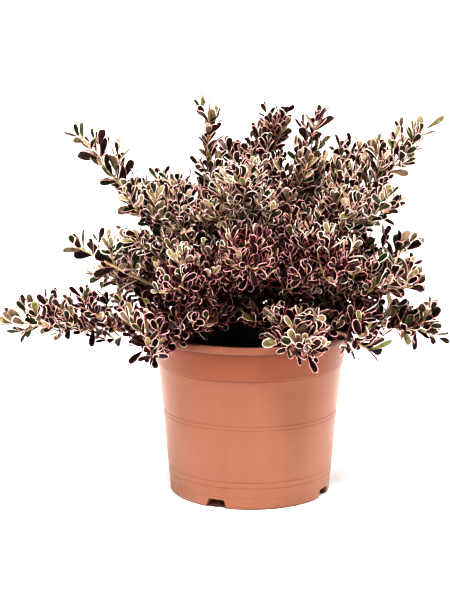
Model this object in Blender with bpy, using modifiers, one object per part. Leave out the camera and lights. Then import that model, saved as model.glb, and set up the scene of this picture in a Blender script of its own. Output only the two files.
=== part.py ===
"""A potted mirror bush: a low, spreading, small-leaved evergreen shrub in a plastic nursery pot.

Metres, +Z up. The origin is the middle of the pot's flat underside. The front is -Y, and azimuths are
counted from +X towards +Y. The plant is a short stem on the soil, boughs that spring from it, and one
mass of leafy twigs at the end of each bough. Neighbouring pieces stay CLEAR apart.
"""

import math
import random

import bmesh
import bpy
from mathutils import Matrix, Vector
from mathutils.bvhtree import BVHTree

CLEAR = 0.0003
WELD = 0.00001
SHARP_ANGLE = math.radians(35.0)
UP = Vector((0.0, 0.0, 1.0))

# Pot: outside sizes of a 19 cm nursery pot
POT_STEPS = 40
RIM_RADIUS = 0.0950
RIM_TOP = 0.1560
RIM_UNDERSIDE = 0.1497
RIM_INNER_RADIUS = 0.0885
RIM_EDGE_INSET = 0.0024
RIM_EDGE_DROP = 0.0010
RIM_TAPER = 0.0007
RIM_LEDGE = 0.0006
COLLAR_TOP_RADIUS = 0.0920
COLLAR_FOOT_RADIUS = 0.0880
COLLAR_FOOT = 0.1237
COLLAR_LEDGE = 0.0008
WALL_TOP_RADIUS = 0.0867
WALL_FOOT_RADIUS = 0.0758
BASE_FILLET = 0.0062
WALL_THICKNESS = 0.0018
FLOOR_THICKNESS = 0.0022

# Four drain recesses cut through the foot of the wall, each under a raised box in the pot's floor
RECESS_COUNT = 4
RECESS_AZIMUTH = math.radians(-115.0)
RECESS_WIDTH = 0.0225
RECESS_TOP_WIDTH = 0.0150
RECESS_HEIGHT = 0.0085
RECESS_INNER = 0.0520
RECESS_OUTER = 0.0800
RECESS_ROOF = 0.0018

# Soil: flat round the stem, sloping to the wall
SOIL_TOP = 0.1470
SOIL_EDGE_TOP = 0.1440
SOIL_FLAT_RADIUS = 0.0300
SOIL_GAP = 0.0005

# Main stem, leaning a little, with a flare at the soil
TRUNK_HEIGHT = 0.0600
TRUNK_LEAN = Vector((-0.0040, -0.0020, 0.0))
TRUNK_FOOT_RADIUS = 0.0110
TRUNK_NECK_RADIUS = 0.0072
TRUNK_TIP_RADIUS = 0.0046
FLARE_HEIGHT = 0.0100
TRUNK_RINGS = (0.0, 0.003, 0.006, 0.010, 0.020, 0.034, 0.048)
TRUNK_BELOW_SOIL = 0.0030

# Boughs, and the stems and twigs of the masses; the twigs turn up to the light
BOUGH_RADIUS = 0.0021
BOUGH_TIP_RADIUS = 0.0015
STEM_TIP_RADIUS = 0.0010
LIMB_POINTS = 4
FIRST_TWIG = 0.08
LAST_TWIG = 0.88
TWIG_RADIUS = 0.0013
TWIG_TIP_RADIUS = 0.0010
TWIG_LEAN = math.radians(56.0)
TWIG_UPTURN = 0.55
TWIG_SIZES = (0.75, 1.0)
TWIG_STRAY = 0.3
TWIG_LEAST = 0.0090
TWIG_FOR_TWO_PAIRS = 0.0160
TWIG_CUTBACK = 0.78
GOLDEN_ANGLE = math.radians(137.5)
TIP_REACH = 0.38

# Leaves, larger than life, so that fewer fill the crown; a wide mass has larger ones than a slim
# shoot, and all of them turn up a little
LEAF_LENGTH = 0.0125
LEAF_LENGTH_PER_SPREAD = 0.48
LEAF_ASPECT = 0.59
LEAF_THICKNESS = 0.0009
LEAF_WIDEST = 0.60
LEAF_RISE = 0.3
LEAF_UPTURN = 0.2
LEAF_SIZES = (0.85, 1.08)
BUD = 0.0030
PAIR_STEP = 0.0080
TOP_PAIR_OPENING = math.radians(30.0)
LOW_PAIR_OPENING = math.radians(60.0)

# Each row: name, height on the stem where the bough springs, azimuth, reach and height of the end of
# the mass, rise of the bough at its root in degrees, share of the path that is bare bough, spread of
# the twigs, number of twigs. A mass that starts low on its path is dense and has a core.
LIMBS = (
    ("low_left", 0.0080, -172, 0.210, 0.165, 2, 0.30, 0.034, 9),
    ("front_left_low", 0.0070, -137, 0.124, 0.156, 24, 0.34, 0.040, 6),
    ("left_shoot", 0.0200, -173, 0.160, 0.236, 14, 0.58, 0.023, 6),
    ("left_low", 0.0140, 172, 0.094, 0.180, 18, 0.28, 0.042, 5),
    ("upper_left_long", 0.0385, 177, 0.157, 0.334, 35, 0.42, 0.020, 7),
    ("upper_left_short", 0.0450, -168, 0.106, 0.270, 40, 0.30, 0.036, 6),
    ("left_side", 0.0310, -163, 0.106, 0.240, 34, 0.28, 0.044, 6),
    ("top_left", 0.0500, 158, 0.041, 0.360, 57, 0.26, 0.022, 6),
    ("top_mid", 0.0590, 52, 0.040, 0.338, 84, 0.26, 0.032, 6),
    ("top_right_shoot", 0.0510, -4, 0.060, 0.342, 56, 0.28, 0.030, 6),
    ("top_right_mid", 0.0460, 22, 0.110, 0.308, 48, 0.30, 0.038, 6),
    ("upper_right_long", 0.0410, -5, 0.155, 0.337, 38, 0.34, 0.028, 7),
    ("right_mid", 0.0320, -18, 0.122, 0.267, 34, 0.28, 0.044, 5),
    ("right_shoot", 0.0225, 2, 0.150, 0.230, 17, 0.38, 0.025, 6),
    ("right_low", 0.0175, -15, 0.148, 0.202, 20, 0.28, 0.044, 7),
    ("low_right", 0.0070, -8, 0.164, 0.156, 13, 0.32, 0.042, 8),
    ("over_rim_right", 0.0110, -33, 0.118, 0.153, 28, 0.42, 0.036, 6),
    ("front_low_right", 0.0070, -66, 0.108, 0.162, 32, 0.42, 0.034, 6),
    ("front_right", 0.0250, -52, 0.118, 0.228, 34, 0.28, 0.044, 5),
    ("front_mid", 0.0280, -92, 0.106, 0.232, 38, 0.30, 0.044, 5),
    ("front_left", 0.0240, -124, 0.114, 0.210, 30, 0.28, 0.044, 5),
    ("top_front", 0.0500, -98, 0.062, 0.296, 62, 0.28, 0.044, 5),
    ("back_low_left", 0.0090, 146, 0.160, 0.190, 20, 0.30, 0.044, 6),
    ("back_left", 0.0380, 134, 0.116, 0.264, 46, 0.30, 0.046, 5),
    ("back_low_mid", 0.0120, 96, 0.156, 0.192, 22, 0.30, 0.044, 6),
    ("back_mid", 0.0440, 92, 0.100, 0.300, 54, 0.30, 0.046, 5),
    ("back_low_right", 0.0130, 42, 0.160, 0.188, 20, 0.30, 0.044, 6),
    ("back_right", 0.0360, 50, 0.118, 0.272, 46, 0.30, 0.046, 5),
)
FIELDS = "name spring azimuth reach height rise bare spread twigs".split()
DENSE_BELOW = 0.36
CORE_PER_SPREAD = 0.48
CORE_STRETCH = 1.7
CORE_CUTBACK = 0.9
CORE_PLACE = 1 / 3
SEED = 1000


def clear_scene():
    """Remove every object that the file holds."""
    for obj in list(bpy.data.objects):
        bpy.data.objects.remove(obj, do_unlink=True)


def new_collection(name):
    made = bpy.data.collections.new(name)
    bpy.context.scene.collection.children.link(made)
    return made


def material(name, colour, roughness):
    """A plain Principled material."""
    made = bpy.data.materials.new(name)
    made.use_nodes = True
    shader = made.node_tree.nodes["Principled BSDF"]
    shader.inputs["Base Color"].default_value = (*colour, 1.0)
    shader.inputs["Roughness"].default_value = roughness
    shader.inputs["Metallic"].default_value = 0.0
    return made


def add_object(name, mesh, collection, look=None):
    obj = bpy.data.objects.new(name, mesh)
    collection.objects.link(obj)
    if look:
        mesh.materials.clear()
        mesh.materials.append(look)
    return obj


def mesh_from(bm, name):
    """Turn a bmesh into a mesh and free it."""
    mesh = bpy.data.meshes.new(name)
    bm.to_mesh(mesh)
    bm.free()
    return mesh


def applied(obj, name):
    """A new mesh of what the object's curve or modifiers make."""
    bpy.context.view_layer.update()
    graph = bpy.context.evaluated_depsgraph_get()
    mesh = bpy.data.meshes.new_from_object(obj.evaluated_get(graph))
    mesh.name = name
    return mesh


def shade_round(mesh):
    """Smooth shading that keeps the corners sharp."""
    mesh.shade_smooth()
    mesh.set_sharp_from_angle(angle=SHARP_ANGLE)


def arc(centre, radius, start, end, count):
    """Points of an arc in the profile plane, angles in degrees from +radius towards +height."""
    found = []
    for i in range(count + 1):
        angle = math.radians(start + (end - start) * i / count)
        found.append((centre[0] + radius * math.cos(angle), centre[1] + radius * math.sin(angle)))
    return found


def turned(name, profile, collection, look):
    """A solid turned about the Z axis. The profile of (radius, height) runs down its outer side."""
    points = [(radius, 0.0, height) for radius, height in profile]
    mesh = bpy.data.meshes.new(name)
    mesh.from_pydata(points, [(i, i + 1) for i in range(len(points) - 1)], [])
    obj = add_object(name, mesh, collection, look)
    screw = obj.modifiers.new("turn", "SCREW")
    screw.steps = screw.render_steps = POT_STEPS
    screw.use_merge_vertices = True
    screw.merge_threshold = WELD
    return obj


def pot_outside():
    """Outside of the pot from the rim down to the middle of its flat base."""
    wall = [
        (RIM_RADIUS - RIM_EDGE_INSET, RIM_TOP),
        (RIM_RADIUS - RIM_TAPER, RIM_TOP - RIM_EDGE_DROP),
        (RIM_RADIUS, RIM_UNDERSIDE),
        (COLLAR_TOP_RADIUS, RIM_UNDERSIDE - RIM_LEDGE),
        (COLLAR_FOOT_RADIUS, COLLAR_FOOT + COLLAR_LEDGE),
        (WALL_TOP_RADIUS, COLLAR_FOOT),
    ]
    fillet = arc((WALL_FOOT_RADIUS - BASE_FILLET, BASE_FILLET), BASE_FILLET, 0, -90, 3)
    return wall + fillet + [(0.0, 0.0)]


def pot_inside():
    """Inside of the pot from the rim's inner edge down to the edge of its floor."""
    return [
        (RIM_INNER_RADIUS, RIM_TOP),
        (COLLAR_FOOT_RADIUS - WALL_THICKNESS, COLLAR_FOOT + COLLAR_LEDGE),
        (WALL_TOP_RADIUS - WALL_THICKNESS, COLLAR_FOOT - COLLAR_LEDGE),
        (WALL_FOOT_RADIUS - WALL_THICKNESS, BASE_FILLET),
        (WALL_FOOT_RADIUS - BASE_FILLET, FLOOR_THICKNESS),
    ]


def radius_at(profile, height):
    """Radius of a falling profile at a height."""
    for (top_radius, top), (low_radius, low) in zip(profile, profile[1:]):
        if low <= height <= top:
            return low_radius + (top_radius - low_radius) * (height - low) / (top - low)
    raise ValueError("the profile does not reach this height")


def recess_block(name, grow, inner, outer_top, outer_foot, top, foot, collection):
    """A box whose sides lean together, lying along +X, for one drain recess or the box over it."""
    bm = bmesh.new()
    bmesh.ops.create_cube(bm, size=1.0)
    for vert in bm.verts:
        upper = vert.co.z > 0
        width = RECESS_TOP_WIDTH if upper else RECESS_WIDTH
        outer = outer_top if upper else outer_foot
        vert.co = Vector((
            outer if vert.co.x > 0 else inner,
            math.copysign(width / 2 + grow, vert.co.y),
            top if upper else foot,
        ))
    block = add_object(name, mesh_from(bm, name), collection)
    return as_cutter(block)


def as_cutter(obj):
    obj.hide_render = True
    obj.display_type = "WIRE"
    return obj


def add_boolean(obj, other, operation):
    step = obj.modifiers.new(other.name, "BOOLEAN")
    step.operation = operation
    step.object = other
    step.solver = "EXACT"


def settle(obj):
    """Apply the object's modifiers and shade it round."""
    mesh = applied(obj, obj.name)
    obj.modifiers.clear()
    obj.data = mesh
    shade_round(mesh)


def recess_turn(index):
    return Matrix.Rotation(RECESS_AZIMUTH + index * math.tau / RECESS_COUNT, 4, "Z")


def build_pot(parts, cutters, look):
    """The pot: a turned shell with four roofed drain recesses in its foot."""
    inside = pot_inside() + [(0.0, FLOOR_THICKNESS)]
    pot = turned("pot", inside[::-1] + pot_outside(), parts, look)
    for index in range(RECESS_COUNT):
        roof = recess_block(
            f"recess_roof_{index}", RECESS_ROOF, RECESS_INNER - RECESS_ROOF,
            WALL_FOOT_RADIUS - WALL_THICKNESS / 2, WALL_FOOT_RADIUS - BASE_FILLET,
            RECESS_HEIGHT + RECESS_ROOF, FLOOR_THICKNESS / 2, cutters,
        )
        void = recess_block(
            f"recess_void_{index}", 0.0, RECESS_INNER, RECESS_OUTER, RECESS_OUTER,
            RECESS_HEIGHT, -FLOOR_THICKNESS / 2, cutters,
        )
        for block, operation in ((roof, "UNION"), (void, "DIFFERENCE")):
            block.matrix_world = recess_turn(index)
            add_boolean(pot, block, operation)
    settle(pot)


def build_soil(parts, cutters, look):
    """The soil that fills the pot, clear of its wall, its floor and the boxes over the recesses."""
    inside = pot_inside()
    edge = radius_at(inside, SOIL_EDGE_TOP)
    side = [(edge, SOIL_EDGE_TOP)] + inside[1:-1] + [(inside[-1][0], FLOOR_THICKNESS + SOIL_GAP)]
    profile = [(0.0, SOIL_TOP), (SOIL_FLAT_RADIUS, SOIL_TOP)]
    profile += [(radius - SOIL_GAP, height) for radius, height in side]
    profile += [(0.0, FLOOR_THICKNESS + SOIL_GAP)]
    soil = turned("soil", profile, parts, look)
    for index in range(RECESS_COUNT):
        room = recess_block(
            f"recess_room_{index}", RECESS_ROOF + SOIL_GAP, RECESS_INNER - RECESS_ROOF - SOIL_GAP,
            RECESS_OUTER, RECESS_OUTER, RECESS_HEIGHT + RECESS_ROOF + SOIL_GAP, 0.0, cutters,
        )
        room.matrix_world = recess_turn(index)
        add_boolean(soil, room, "DIFFERENCE")
    settle(soil)


def tube(name, points, radii, collection, look=None, sides=6):
    """A tapering limb along the points: a curve with filled caps, made a closed mesh."""
    curve = bpy.data.curves.new(name, "CURVE")
    curve.dimensions = "3D"
    curve.bevel_depth = 1.0
    curve.bevel_resolution = (sides - 4) // 2
    curve.use_fill_caps = True
    spline = curve.splines.new("POLY")
    spline.points.add(len(points) - 1)
    for target, point, radius in zip(spline.points, points, radii):
        target.co = (*point, 1.0)
        target.radius = radius
    guide = add_object(name + "_line", curve, collection)
    mesh = applied(guide, name)
    bpy.data.objects.remove(guide)
    bpy.data.curves.remove(curve)
    bm = bmesh.new()
    bm.from_mesh(mesh)
    bmesh.ops.remove_doubles(bm, verts=bm.verts, dist=WELD)
    bmesh.ops.recalc_face_normals(bm, faces=bm.faces)
    bm.to_mesh(mesh)
    bm.free()
    shade_round(mesh)
    return add_object(name, mesh, collection, look)


def trunk_axis(height):
    """A point on the leaning axis of the main stem, at this height above the soil."""
    return UP * (SOIL_TOP + CLEAR + height) + TRUNK_LEAN * (height / TRUNK_HEIGHT)


def trunk_radius(height):
    """Radius of the main stem: a flare near the soil, then an even taper."""
    flare = max(0.0, 1.0 - height / FLARE_HEIGHT) ** 2
    plain = TRUNK_NECK_RADIUS + (TRUNK_TIP_RADIUS - TRUNK_NECK_RADIUS) * height / TRUNK_HEIGHT
    return plain + flare * (TRUNK_FOOT_RADIUS - TRUNK_NECK_RADIUS)


def trunk_tube(name, grow, collection, look=None):
    """The main stem, cut off flat at the soil, or a copy that is larger all round by grow."""
    heights = [*TRUNK_RINGS, TRUNK_HEIGHT + grow]
    points = [trunk_axis(-TRUNK_BELOW_SOIL)] + [trunk_axis(h) for h in heights]
    radii = [TRUNK_FOOT_RADIUS + grow] + [trunk_radius(h) + grow for h in heights]
    trunk = tube(name, points, radii, collection, look, sides=12)
    bm = bmesh.new()
    bm.from_mesh(trunk.data)
    cut = bmesh.ops.bisect_plane(
        bm, geom=bm.verts[:] + bm.edges[:] + bm.faces[:], dist=WELD,
        plane_co=trunk_axis(0.0), plane_no=UP, clear_inner=True)
    rim = [item for item in cut["geom_cut"] if isinstance(item, bmesh.types.BMEdge)]
    bmesh.ops.contextual_create(bm, geom=rim)
    bmesh.ops.recalc_face_normals(bm, faces=bm.faces)
    bm.to_mesh(trunk.data)
    bm.free()
    shade_round(trunk.data)
    return trunk


def limb_point(row, t):
    """A point at t on a limb's path, an arc through three control points."""
    root, lead, end = row["line"]
    return root * (1 - t) ** 2 + lead * 2 * t * (1 - t) + end * t ** 2


def limb_points(row, start, end, count):
    return [limb_point(row, start + (end - start) * i / (count - 1)) for i in range(count)]


def limb_rows():
    """For each row of LIMBS, a dict of its values with its three control points added."""
    found = []
    for values in LIMBS:
        row = dict(zip(FIELDS, values))
        azimuth, rise = math.radians(row["azimuth"]), math.radians(row["rise"])
        end = Vector((math.cos(azimuth), math.sin(azimuth), 0.0)) * row["reach"] + UP * row["height"]
        root = trunk_axis(row["spring"])
        level = Vector((end.x - root.x, end.y - root.y, 0.0)).normalized()
        lead = (level * math.cos(rise) + UP * math.sin(rise)) * (end - root).length / 2
        row["line"] = (root, root + lead, end)
        found.append(row)
    return found


def tapered(first, last, count):
    return [first + (last - first) * i / (count - 1) for i in range(count)]


def build_boughs(rows, parts, cutters, look):
    """One tapering bough for each row, its root cut to fit the main stem."""
    clearance = as_cutter(trunk_tube("trunk_clearance", CLEAR, cutters))
    for row in rows:
        points = limb_points(row, 0.0, row["bare"], LIMB_POINTS)
        radii = tapered(BOUGH_RADIUS, BOUGH_TIP_RADIUS, LIMB_POINTS)
        bough = tube("bough_" + row["name"], points, radii, parts, look)
        add_boolean(bough, clearance, "DIFFERENCE")


def line_distance(point, line):
    """Distance from a point to a chain of straight pieces."""
    least = math.inf
    for a, b in zip(line, line[1:]):
        along = b - a
        t = max(0.0, min(1.0, (point - a).dot(along) / along.length_squared))
        least = min(least, (a + along * t - point).length)
    return least


class Spaces:
    """The space of each mass: the part of the crown that lies nearer to its stem than to another
    mass's stem, clear of the pot, the soil, the main stem and every bough."""

    SHARE_GAP = 0.0010
    LIMB_GAP = 0.0026
    POT_GAP = 0.0025
    RIM_INSIDE = RIM_INNER_RADIUS - 0.0040

    def __init__(self, rows):
        self.stems = {row["name"]: limb_points(row, row["bare"], 1.0, 6) for row in rows}
        self.limbs = [(limb_points(row, 0.0, row["bare"], 5), BOUGH_RADIUS) for row in rows]
        self.limbs.append(([trunk_axis(0.0), trunk_axis(TRUNK_HEIGHT)], TRUNK_NECK_RADIUS))

    def is_nearest(self, name, point):
        """Whether a point is nearer to the mass's own stem than to any other stem."""
        own = line_distance(point, self.stems[name])
        least = max(own + self.SHARE_GAP, BOUGH_TIP_RADIUS + self.LIMB_GAP)
        return all(
            line_distance(point, stem) > least
            for other, stem in self.stems.items() if other != name)

    def is_off_limbs(self, point):
        return all(
            line_distance(point, line) > radius + self.LIMB_GAP for line, radius in self.limbs)

    def is_off_pot(self, point):
        """Whether a point is outside the pot, or above its rim and soil."""
        reach = math.hypot(point.x, point.y)
        if reach > RIM_RADIUS + self.POT_GAP:
            return True
        floor = RIM_TOP if reach > self.RIM_INSIDE else SOIL_TOP
        return point.z > floor + self.POT_GAP

    def holds(self, name, points):
        return all(
            self.is_off_pot(p) and self.is_off_limbs(p) and self.is_nearest(name, p) for p in points)


def leaf_mesh(length):
    """A leaf of six faces along +Z: flat below, a ridge above, its root at the origin."""
    bm = bmesh.new()
    bmesh.ops.create_uvsphere(bm, u_segments=3, v_segments=2, radius=1.0)
    for vert in bm.verts:
        at_ring = abs(vert.co.z) < 0.5
        height = LEAF_WIDEST if at_ring else (vert.co.z + 1.0) / 2
        across = -vert.co.y / math.sqrt(3.0) * length * LEAF_ASPECT
        vert.co = Vector((across, vert.co.x * LEAF_THICKNESS / 1.5, height * length))
    return mesh_from(bm, "leaf")


def aimed(origin, direction, facing):
    """A matrix that stands +Z along direction, with +Y turned as near to facing as it goes."""
    z = direction.normalized()
    y = facing - z * facing.dot(z)
    if y.length < WELD:
        y = z.orthogonal()
    y.normalize()
    return Matrix.Translation(origin) @ Matrix((y.cross(z), y, z)).transposed().to_4x4()


def blade_points(matrix, length):
    """Places on a leaf that its space has to hold, as shares of its width and its length."""
    shares = (
        (0.0, 0.35), (0.0, LEAF_WIDEST), (0.0, 0.82), (0.0, 1.0), (0.5, LEAF_WIDEST),
        (-0.5, LEAF_WIDEST), (0.25, 0.8), (-0.25, 0.8), (0.25, 0.33), (-0.25, 0.33),
    )
    width = length * LEAF_ASPECT
    return [matrix @ Vector((across * width, 0.0, up * length)) for across, up in shares]


def blade_tree(mesh, matrix, length):
    """The outer three quarters of a leaf, for telling whether it crosses another leaf."""
    places = [matrix @ Vector((v.co.x, v.co.y, max(v.co.z, length / 4))) for v in mesh.vertices]
    return BVHTree.FromPolygons(places, [face.vertices for face in mesh.polygons])


class Mass:
    """One mass of leafy twigs, grown from its stem by a seeded rule and joined into one body."""

    def __init__(self, index, row, spaces):
        self.rng = random.Random(SEED + index)
        self.row = row
        self.spaces = spaces
        self.pieces = new_collection("pieces_" + row["name"])
        self.blades = []
        self.leaf_length = LEAF_LENGTH + LEAF_LENGTH_PER_SPREAD * row["spread"]

    def holds(self, points):
        return self.spaces.holds(self.row["name"], points)

    def stem_point(self, t):
        """A place and a direction on the stem, t from its root to its end."""
        at = self.row["bare"] + t * (1.0 - self.row["bare"])
        here = limb_point(self.row, at)
        return here, (limb_point(self.row, at + 0.01) - here).normalized()

    def add_leaf(self, origin, direction, facing, length):
        """Add a leaf rooted on the twig's axis, if its space holds it and it crosses no other."""
        matrix = aimed(origin, direction, facing)
        for size in (length, length * TWIG_CUTBACK):
            mesh = leaf_mesh(size)
            tree = blade_tree(mesh, matrix, size)
            crosses = any(tree.overlap(other) for other in self.blades)
            if not crosses and self.holds(blade_points(matrix, size)):
                leaf = add_object("leaf", mesh, self.pieces)
                leaf.matrix_world = matrix
                self.blades.append(tree)
                return
            bpy.data.meshes.remove(mesh)

    def add_pair(self, origin, along, side, opening, length):
        """Two leaves on opposite sides of a twig, their faces turned up it."""
        for sign in (1.0, -1.0):
            out = along * math.cos(opening) + side * sign * math.sin(opening) + UP * LEAF_RISE
            facing = along - out * along.dot(out) + UP * LEAF_UPTURN
            self.add_leaf(origin, out, facing, length * self.rng.uniform(*LEAF_SIZES))

    def add_tuft(self, end, along, side, pairs):
        """A pair of leaves near a twig's end, and a wider pair below it at right angles."""
        self.add_pair(end - along * BUD, along, side, TOP_PAIR_OPENING, self.leaf_length)
        if pairs > 1:
            lower = end - along * (BUD + PAIR_STEP)
            self.add_pair(lower, along, along.cross(side), LOW_PAIR_OPENING, self.leaf_length)

    def add_twig(self, start, end):
        """Add a three-sided tapering twig from the stem's axis, if the mass's space holds it."""
        line = end - start
        if not self.holds([start + line * share for share in (0.4, 0.6, 0.8, 1.0)]):
            return False
        bm = bmesh.new()
        bmesh.ops.create_cone(
            bm, cap_ends=True, segments=3, radius1=TWIG_RADIUS, radius2=TWIG_TIP_RADIUS,
            depth=line.length)
        twig = add_object("twig", mesh_from(bm, "twig"), self.pieces)
        twig.matrix_world = aimed(start + line / 2, line, UP)
        return True

    def add_core(self):
        """The small solid middle that the leaves of a dense mass stand out of."""
        centre, direction = self.stem_point(CORE_PLACE)
        radius = self.row["spread"] * CORE_PER_SPREAD
        while radius > BOUGH_RADIUS * 2:
            shape = Matrix.Diagonal((radius, radius, radius * CORE_STRETCH, 1.0))
            bm = bmesh.new()
            bmesh.ops.create_icosphere(
                bm, subdivisions=1, radius=1.0, matrix=aimed(centre, direction, UP) @ shape)
            middles = [face.calc_center_median() for face in bm.faces]
            if self.holds([vert.co for vert in bm.verts] + middles):
                add_object("core", mesh_from(bm, "core"), self.pieces)
                return
            bm.free()
            radius *= CORE_CUTBACK

    def grow(self):
        """Leaves at the stem's end, then twigs in a spiral up the stem with leaves at their ends."""
        end, along = self.stem_point(1.0)
        self.add_tuft(end, along, along.orthogonal().normalized(), 2)
        count = self.row["twigs"]
        for k in range(count):
            t = FIRST_TWIG + (LAST_TWIG - FIRST_TWIG) * k / (count - 1)
            start, along = self.stem_point(t)
            turn = Matrix.Rotation(k * GOLDEN_ANGLE + self.rng.uniform(-TWIG_STRAY, TWIG_STRAY), 3, along)
            out = turn @ along.orthogonal().normalized()
            heading = along * math.cos(TWIG_LEAN) + out * math.sin(TWIG_LEAN) + UP * TWIG_UPTURN
            heading.normalize()
            reach = 1.0 + (TIP_REACH - 1.0) * t
            length = self.row["spread"] * reach * self.rng.uniform(*TWIG_SIZES)
            while length > TWIG_LEAST and not self.add_twig(start, start + heading * length):
                length *= TWIG_CUTBACK
            if length > TWIG_LEAST:
                roll = Matrix.Rotation(self.rng.uniform(0, math.tau), 3, heading)
                side = roll @ heading.orthogonal().normalized()
                pairs = 2 if length > TWIG_FOR_TWO_PAIRS else 1
                self.add_tuft(start + heading * length, heading, side, pairs)

    def build(self, parts, look):
        """Stem, core, twigs and leaves, joined into one body by one union."""
        name = "foliage_" + self.row["name"]
        start, direction = self.stem_point(0.0)
        points = limb_points(self.row, self.row["bare"], 1.0, LIMB_POINTS)
        points[0] = start + direction * CLEAR
        radii = tapered(BOUGH_TIP_RADIUS, STEM_TIP_RADIUS, LIMB_POINTS)
        mass = tube(name, points, radii, parts, look, sides=4)
        if self.row["bare"] < DENSE_BELOW:
            self.add_core()
        self.grow()
        join = mass.modifiers.new("join", "BOOLEAN")
        join.operation = "UNION"
        join.operand_type = "COLLECTION"
        join.collection = self.pieces
        join.solver = "MANIFOLD"
        mass.data = one_body(applied(mass, name))
        mass.modifiers.clear()
        mass.data.materials.clear()
        mass.data.materials.append(look)
        for piece in list(self.pieces.objects):
            bpy.data.objects.remove(piece, do_unlink=True)
        bpy.data.collections.remove(self.pieces)


def shells(bm):
    """The faces of each connected shell."""
    left = set(bm.faces)
    found = []
    while left:
        stack = [left.pop()]
        shell = []
        while stack:
            face = stack.pop()
            shell.append(face)
            near = {other for edge in face.edges for other in edge.link_faces} & left
            left -= near
            stack.extend(near)
        found.append(shell)
    return found


def shell_volume(shell):
    """Signed volume that a shell of triangles encloses."""
    return sum(f.verts[0].co.dot(f.verts[1].co.cross(f.verts[2].co)) / 6.0 for f in shell)


def one_body(mesh):
    """Keep the largest shell, so a loose scrap is dropped and a sealed hollow is filled."""
    bm = bmesh.new()
    bm.from_mesh(mesh)
    bmesh.ops.triangulate(bm, faces=bm.faces)
    for shell in sorted(shells(bm), key=shell_volume)[:-1]:
        bmesh.ops.delete(bm, geom=shell, context="FACES")
    bm.to_mesh(mesh)
    bm.free()
    mesh.shade_flat()
    return mesh


def main():
    clear_scene()
    parts = new_collection("potted mirror bush")
    cutters = new_collection("cutters")
    terracotta = material("terracotta plastic", (0.62, 0.26, 0.15), 0.55)
    earth = material("potting soil", (0.035, 0.024, 0.018), 0.95)
    bark = material("young bark", (0.42, 0.27, 0.15), 0.70)
    leaf = material("variegated leaf", (0.16, 0.09, 0.06), 0.35)

    build_pot(parts, cutters, terracotta)
    build_soil(parts, cutters, earth)
    trunk_tube("trunk", 0.0, parts, bark)
    rows = limb_rows()
    build_boughs(rows, parts, cutters, bark)
    spaces = Spaces(rows)
    for index, row in enumerate(rows):
        Mass(index, row, spaces).build(parts, leaf)


main()
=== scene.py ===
"""A potted mirror bush: a low, spreading evergreen with small dark leaves edged in pink and cream.

Metres, +Z up, the front is -Y, and the pot stands on z = 0. The sections are in
this order: pot, soil, stem and boughs, twigs, leaves, studio.
"""

import math
import random

import bmesh
import bpy
import numpy as np
from mathutils import Matrix, Vector, noise


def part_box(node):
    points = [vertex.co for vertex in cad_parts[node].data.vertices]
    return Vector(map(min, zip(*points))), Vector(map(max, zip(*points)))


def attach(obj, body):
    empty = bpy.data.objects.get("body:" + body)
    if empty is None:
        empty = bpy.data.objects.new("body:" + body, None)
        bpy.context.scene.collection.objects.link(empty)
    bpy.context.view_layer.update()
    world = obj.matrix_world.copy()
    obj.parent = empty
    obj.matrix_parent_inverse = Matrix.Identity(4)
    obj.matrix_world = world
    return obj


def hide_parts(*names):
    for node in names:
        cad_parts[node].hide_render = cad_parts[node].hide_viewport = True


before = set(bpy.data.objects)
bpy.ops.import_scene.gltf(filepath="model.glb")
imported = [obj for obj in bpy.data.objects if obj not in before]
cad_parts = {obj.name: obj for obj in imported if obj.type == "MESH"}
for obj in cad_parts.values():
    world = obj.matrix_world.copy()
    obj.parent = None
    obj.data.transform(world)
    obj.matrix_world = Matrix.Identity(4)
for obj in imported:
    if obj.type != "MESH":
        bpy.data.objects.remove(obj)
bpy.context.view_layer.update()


# The pot is a round nursery container with a deep band under a thick lip. It is moulded in matte
# plastic of a terracotta colour, with fine grooves round its wall. Four drain recesses are cut
# through the foot of the wall, each roofed by a box that stands up from the pot's floor.
RIM_TOP = 0.1560
RIM_RADIUS = 0.0950
LIP_ROUND = 0.0012
LIP_FOOT = 0.1505
LIP_FOOT_ROUND = 0.0008
BAND_FOOT = 0.1248
BAND_FOOT_ROUND = 0.0006
FOOT_ROUND = 0.0030
GROOVE_HALF = 0.0007
GROOVE_HOLD = 1.3
POT_STEPS = 144
WELD = 0.00001


def groove(radius, height, depth, half=GROOVE_HALF):
    """Outline of a shallow groove round the wall, with a point that holds the wall flat past each
    of its edges."""
    return [
        (radius, height + GROOVE_HOLD * half), (radius, height + half), (radius - depth, height),
        (radius, height - half), (radius, height - GROOVE_HOLD * half)]


def rounded(radius, height, size, start, end, steps):
    """Outline of a rounded corner about this radius and height, from start to end in degrees up
    from level."""
    angles = [math.radians(start + (end - start) * i / steps) for i in range(steps + 1)]
    return [(radius + size * math.cos(angle), height + size * math.sin(angle)) for angle in angles]


def turned(outline, steps):
    """The closed solid that an outline, a list of radii and heights, makes as it turns once."""
    bm = bmesh.new()
    line = [bm.verts.new((radius, 0.0, height)) for radius, height in outline]
    edges = [bm.edges.new(ends) for ends in zip(line, line[1:])]
    bmesh.ops.spin(
        bm, geom=line + edges, cent=(0, 0, 0), axis=(0, 0, 1), angle=math.tau, steps=steps,
        use_merge=True)
    bmesh.ops.remove_doubles(bm, verts=bm.verts, dist=WELD)
    bmesh.ops.recalc_face_normals(bm, faces=bm.faces)
    return bm


def mesh_of(name, bm):
    """The mesh of a finished bmesh, which is freed."""
    mesh = bpy.data.meshes.new(name)
    bm.to_mesh(mesh)
    bm.free()
    return mesh


def put_in_scene(name, data):
    """A new object at the origin that shows this mesh, curve, lamp or camera."""
    made = bpy.data.objects.new(name, data)
    bpy.context.scene.collection.objects.link(made)
    return made


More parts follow.
